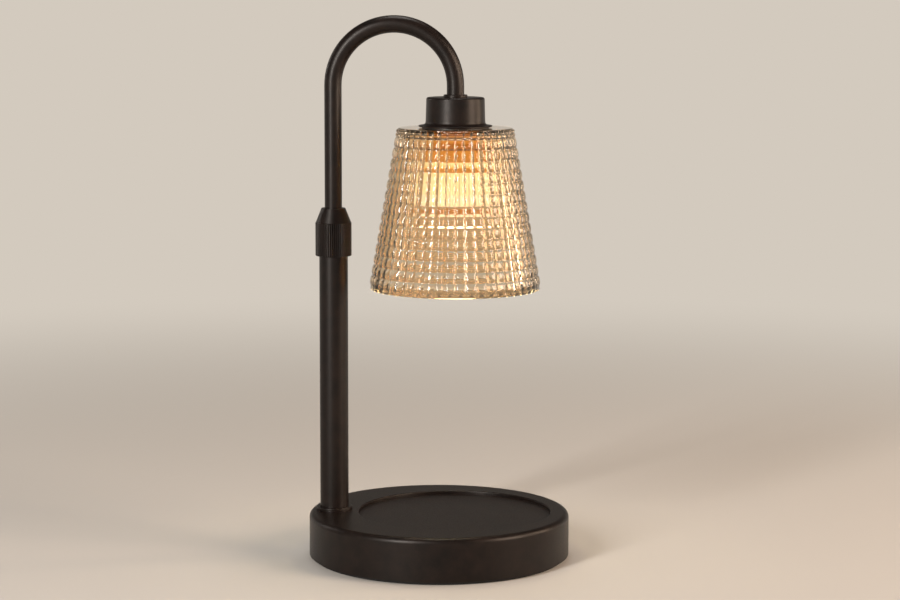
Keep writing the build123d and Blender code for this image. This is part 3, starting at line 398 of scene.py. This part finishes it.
reflector = {
    "facets": 26, "rings": 6,  # hollows of the bowl's inside, round and down
    "hollow": 0.3,  # millimetres deep
    "wall": 1.2, "rim": 3.0, "neck": 12.5, "hole": 8.0,
    "curve": 0.75,  # power of the bowl's curve
    "rimEdge": 0.4, "inset": 0.2,  # ring of points by the rim's edge, and the inside's drop
    "cellSteps": 6,  # quads across a facet
    "glowTop": "#f9c878", "glowMiddle": "#fff2c0", "glowLow": "#fffae6", "glowRim": "#b0763c",
    # the body's brown tone is painted light of the lamp inside the bowl
    "body": "#5a4630", "roughness": (0.1, 0.25),
    "haze": 2.5,  # millimetres across, of the film's faint clouds
    "glowStrength": 1.25,
    "between": 0.55,  # how bright the ribs between the facets are beside the facets
}


# the bowl is a profile round the lamp's axis: radius = neck + (rim - neck) * t to the power curve,
# with t from 0 at the neck to 1 at the straight rim. Its inside is the same less the wall, and
# each facet sinks into the glass by hollow * (1 - x^2) * (1 - y^2).
def makeReflector(settings):
    low, high = (np.array(corner) * 1000 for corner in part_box("bulb_reflector"))
    middle = (low + high) / 2
    rimR, height = (high[0] - low[0]) / 2, high[2] - low[2]
    wall, hole = settings["wall"], settings["hole"]
    inCell = np.arange(settings["cellSteps"]) / settings["cellSteps"]
    facets, rings = np.arange(settings["facets"]), np.arange(settings["rings"])
    turn = ((facets[:, None] + inCell) / settings["facets"]).ravel() * 2 * np.pi
    across = np.tile(2 * inCell - 1, settings["facets"])
    down = np.append((rings[:, None] + inCell).ravel(), settings["rings"]) / settings["rings"]
    along = np.append(np.tile(2 * inCell - 1, settings["rings"]), 1.0)
    bowlR = settings["neck"] + (rimR - settings["neck"]) * down ** settings["curve"]
    bowlZ = height - (height - settings["rim"]) * down
    hollow = settings["hollow"] * (1 - along[:, None] ** 2) * (1 - across[None, :] ** 2)
    outR = np.concatenate([[hole], bowlR, [rimR, rimR, rimR - wall, rimR - wall]])
    outZ = np.concatenate([[height], bowlZ, [settings["rimEdge"], 0.0, 0.0, settings["rimEdge"]]])
    inR = (bowlR - wall)[:, None] + hollow
    inZ = np.minimum(bowlZ - settings["inset"], height - wall)
    radius = np.vstack([
        np.repeat(outR[:, None], len(turn), 1), inR[::-1], np.full((1, len(turn)), hole),
    ])
    level = np.concatenate([outZ, inZ[::-1], [height - wall]])[:, None] * np.ones(len(turn))
    points = np.stack([
        middle[0] + radius * np.cos(turn), middle[1] + radius * np.sin(turn), low[2] + level,
    ], -1) / 1000
    piece = makeSurface("bulbReflector", points, roundRows=True)
    return piece, middle / 1000, low[2] / 1000, high[2] / 1000


# borosilicate glass, moulded, with a thin reflecting film: it lets some of the light through, so
# the lit bowl glows amber at its neck and warm white below, with dimmer ribs between its facets,
# down to the straight rim, which the light doesn't reach
def makeReflectorGlass(settings, middle, lowZ, highZ):
    material, tree = startMaterial("borosilicateReflector")
    place = addNode(tree, "ShaderNodeTexCoord").outputs["Object"]
    parts = addNode(tree, "ShaderNodeSeparateXYZ", links={"Vector": place})
    rise = addNode(tree, "ShaderNodeMapRange", {"From Min": lowZ, "From Max": highZ},
                   {"Value": parts.outputs["Z"]})
    glow = addNode(tree, "ShaderNodeValToRGB", links={"Fac": rise.outputs["Result"]}, stops=[
        (0.09, settings["glowRim"]), (0.11, settings["glowLow"]), (0.5, settings["glowMiddle"]),
        (0.92, settings["glowMiddle"]), (1.0, settings["glowTop"]),
    ])
    # the ribs: cosine of the angle round the axis times the number of facets
    sideways = addNode(tree, "ShaderNodeMath", {1: middle[0]}, {0: parts.outputs["X"]},
                       operation="SUBTRACT")
    angle = addNode(tree, "ShaderNodeMath", links={0: parts.outputs["Y"], 1: sideways.outputs[0]},
                    operation="ARCTAN2")
    turned = addNode(tree, "ShaderNodeMath", {1: settings["facets"]}, {0: angle.outputs[0]},
                     operation="MULTIPLY")
    wave = addNode(tree, "ShaderNodeMath", links={0: turned.outputs[0]}, operation="COSINE")
    power = addNode(tree, "ShaderNodeMapRange", {
        "From Min": -1.0, "From Max": 0.2, "To Min": settings["glowStrength"] * settings["between"],
        "To Max": settings["glowStrength"],
    }, {"Value": wave.outputs[0]})
    noise = addNode(tree, "ShaderNodeTexNoise", {"Scale": 1000 / settings["haze"], "Detail": 2},
                    {"Vector": place})
    gloss = addNode(tree, "ShaderNodeMapRange", {
        "To Min": settings["roughness"][0], "To Max": settings["roughness"][1],
    }, {"Value": noise.outputs["Fac"]})
    shader = addNode(tree, "ShaderNodeBsdfPrincipled", {
        "Base Color": linear(settings["body"]), "IOR": 1.47,
    }, {
        "Emission Color": glow.outputs["Color"], "Emission Strength": power.outputs["Result"],
        "Roughness": gloss.outputs["Result"],
    })
    addNode(tree, "ShaderNodeOutputMaterial", links={"Surface": shader.outputs[0]})
    return material


reflectorPiece, reflectorMiddle, reflectorLow, reflectorHigh = makeReflector(reflector)
reflectorPiece.data.materials.append(
    makeReflectorGlass(reflector, reflectorMiddle, reflectorLow, reflectorHigh))
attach(reflectorPiece, "bulb")
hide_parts("bulb_reflector")
print("reflector made:", len(reflectorPiece.data.polygons), "faces")


# ---- front glass of the halogen lamp

frontGlass = {
    "pitch": 2.2, "relief": 0.3,  # millimetres
    "body": "#fff6e6", "roughness": 0.12,
    "glow": "#ffe2a6", "glowMiddle": "#fff4d0", "glowStrength": 25.0,
}


# borosilicate glass pressed with small round lenses, evenly lit from behind
def makeFrontGlass(settings):
    material, tree = startMaterial("borosilicatePressedLens")
    place = addNode(tree, "ShaderNodeTexCoord").outputs["Object"]
    lenses = addNode(tree, "ShaderNodeTexVoronoi", {"Scale": 1000 / settings["pitch"], "Randomness": 0.15},
                     {"Vector": place}, voronoi_dimensions="3D")
    bump = addNode(tree, "ShaderNodeBump", {"Strength": 0.8, "Distance": settings["relief"] / 1000},
                   {"Height": lenses.outputs["Distance"]})
    glow = addNode(tree, "ShaderNodeValToRGB", links={"Fac": lenses.outputs["Distance"]},
                   stops=[(0.1, settings["glowMiddle"]), (0.7, settings["glow"])])
    shader = addNode(tree, "ShaderNodeBsdfPrincipled", {
        "Base Color": linear(settings["body"]), "Roughness": settings["roughness"], "IOR": 1.47,
        "Emission Strength": settings["glowStrength"],
    }, {"Emission Color": glow.outputs["Color"], "Normal": bump.outputs["Normal"]})
    addNode(tree, "ShaderNodeOutputMaterial", links={"Surface": shader.outputs[0]})
    return material


lensNode = frame["nodes"]["bulb_lens"]
lensNode.data.materials.clear()
lensNode.data.materials.append(makeFrontGlass(frontGlass))
print("front glass set")


# ---- slack of the leads, in the post

slackLeads = {
    "steps": 80, "sides": 16,  # rings along a lead and points round it
    "sway": 2.35,  # millimetres to either side
    "bore": 0.55,  # of the sheath, as a share of its outside
    "gap": 0.3,  # below the leads of the upper tube, which turn with it
}


# a lead is a sheath with a bore, as rings up its outside and down its inside. The rings' middles
# sway to one side and then to the other, by sway * sin(pi / 2 * c), where c is 3 * sin(2 * pi * t)
# kept from -1 to 1, and t runs from 0 to 1 up the lead. So the lead folds beside the leads of the
# upper tube where that comes down over it, not into them
def makeSlackLead(settings, name, side):
    low, high = (np.array(corner) * 1000 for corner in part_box("slack_leads"))
    middle, radius = (low + high) / 2, (high[0] - low[0]) / 2
    along = np.linspace(0, 1, settings["steps"])
    level = low[2] + (high[2] - settings["gap"] - low[2]) * along
    sway = settings["sway"] * np.sin(np.pi / 2 * np.clip(3 * np.sin(2 * np.pi * along), -1, 1))
    size = np.repeat([radius, radius * settings["bore"]], settings["steps"])[:, None]
    turn = np.linspace(0, 2 * np.pi, settings["sides"], endpoint=False)
    points = np.stack([
        middle[0] + np.append(sway, sway[::-1])[:, None] + size * np.cos(turn),
        middle[1] + side * ((high[1] - low[1]) / 2 - radius) + size * np.sin(turn),
        np.append(level, level[::-1])[:, None] * np.ones(len(turn)),
    ], -1) / 1000
    lead = makeSurface(name, points, roundRows=True)
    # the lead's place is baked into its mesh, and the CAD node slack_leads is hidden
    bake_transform(lead)
    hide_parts("slack_leads")
    return lead


for name, side in (("slackLeadFront", -1), ("slackLeadBack", 1)):
    makeSlackLead(slackLeads, name, side).data.materials.append(finishes["lead_sleeve"])
print("slack leads made")


# ---- studio

studio = {
    "floorColour": "#bcbbb8", "floorRoughness": 0.7, "floorSize": 600.0,
    "aim": (0.0, 0.0, 0.16),  # where the lights point
    "farColour": "#d3cabe", "farFrom": 0.25, "farTo": 1.2,  # metres from the lamp
    # the room's tone by the height of the way looked, 0 being level and 1 straight up
    "room": [(0.06, "#d3cabe"), (0.12, "#8a837b"), (0.5, "#544f4a")],
    "lights": [  # name, place, size, watts, colour
        ("keyLeft", (-0.72, -1.2, 0.6), (0.2, 0.9), 26.0, "#fff4ea"),
        ("fillRight", (1.36, -0.5, 0.6), (0.6, 1.0), 24.0, "#ffe0c6"),
        ("sideRight", (1.3, 0.35, 0.45), (0.2, 0.8), 7.0, "#ffdcbc"),
        ("sideLeft", (-1.15, 0.6, 0.6), (0.15, 0.4), 1.2, "#fff6ee"),
        ("overhead", (0.0, 0.3, 1.5), (0.5, 0.5), 7.0, "#fff8f0"),
    ],
}

floorMesh = bpy.data.meshes.new("floor")
half = studio["floorSize"] / 2
floorCorners = [(-half, -half, 0), (half, -half, 0), (half, half, 0), (-half, half, 0)]
floorMesh.from_pydata(floorCorners, [], [(0, 1, 2, 3)])
floor = bpy.data.objects.new("floor", floorMesh)
bpy.context.scene.collection.objects.link(floor)
# pale paint. Far from the lamp, where the lights don't reach, it shows its tone by itself to the
# rays that the camera sees it by, so that the ground behind the lamp is even
floorMaterial, floorTree = startMaterial("floorPaintedPale")
floorShader = addNode(floorTree, "ShaderNodeBsdfPrincipled", {
    "Base Color": linear(studio["floorColour"]), "Roughness": studio["floorRoughness"],
    "Specular IOR Level": 0.0,
})
floorFar = addNode(floorTree, "ShaderNodeEmission", {"Color": linear(studio["farColour"]), "Strength": 1.0})
floorPlace = addNode(floorTree, "ShaderNodeNewGeometry").outputs["Position"]
floorReach = addNode(floorTree, "ShaderNodeVectorMath", links={0: floorPlace}, operation="LENGTH")
floorFade = addNode(floorTree, "ShaderNodeMapRange", {
    "From Min": studio["farFrom"], "From Max": studio["farTo"],
}, {"Value": floorReach.outputs["Value"]}, interpolation_type="SMOOTHSTEP")
path = addNode(floorTree, "ShaderNodeLightPath")
direct = addNode(floorTree, "ShaderNodeMath", links={
    0: path.outputs["Is Camera Ray"], 1: path.outputs["Is Glossy Ray"],
}, operation="ADD")
seen = addNode(floorTree, "ShaderNodeMath", links={
    0: direct.outputs[0], 1: path.outputs["Is Transmission Ray"],
}, operation="ADD", use_clamp=True)
share = addNode(floorTree, "ShaderNodeMath", links={0: seen.outputs[0], 1: floorFade.outputs["Result"]},
                operation="MULTIPLY")
floorMix = addNode(floorTree, "ShaderNodeMixShader", links={
    0: share.outputs[0], 1: floorShader.outputs[0], 2: floorFar.outputs[0],
})
addNode(floorTree, "ShaderNodeOutputMaterial", links={"Surface": floorMix.outputs[0]})
floorMesh.materials.append(floorMaterial)

# the room: the floor's tone at the horizon, then dimmer up to the ceiling
world = bpy.data.worlds.new("studio")
bpy.context.scene.world = world
world.use_nodes = True
room = world.node_tree
room.nodes.clear()
roomWay = addNode(room, "ShaderNodeTexCoord").outputs["Generated"]
roomParts = addNode(room, "ShaderNodeSeparateXYZ", links={"Vector": roomWay})
roomTone = addNode(room, "ShaderNodeValToRGB", links={"Fac": roomParts.outputs["Z"]}, stops=studio["room"])
roomShader = addNode(room, "ShaderNodeBackground", links={"Color": roomTone.outputs["Color"]})
addNode(room, "ShaderNodeOutputWorld", links={"Surface": roomShader.outputs[0]})

for name, place, size, watts, colour in studio["lights"]:
    lightData = bpy.data.lights.new(name, "AREA")
    lightData.shape = "RECTANGLE"
    lightData.size, lightData.size_y = size
    lightData.energy = watts
    lightData.color = linear(colour)[:3]
    light = bpy.data.objects.new(name, lightData)
    light.location = place
    aim = np.array(studio["aim"]) - np.array(place)
    light.rotation_euler = (
        math.acos(-aim[2] / np.linalg.norm(aim)), 0, math.atan2(aim[1], aim[0]) - math.pi / 2,
    )
    bpy.context.scene.collection.objects.link(light)
bpy.context.scene.view_settings.view_transform = "Standard"
print("studio set")
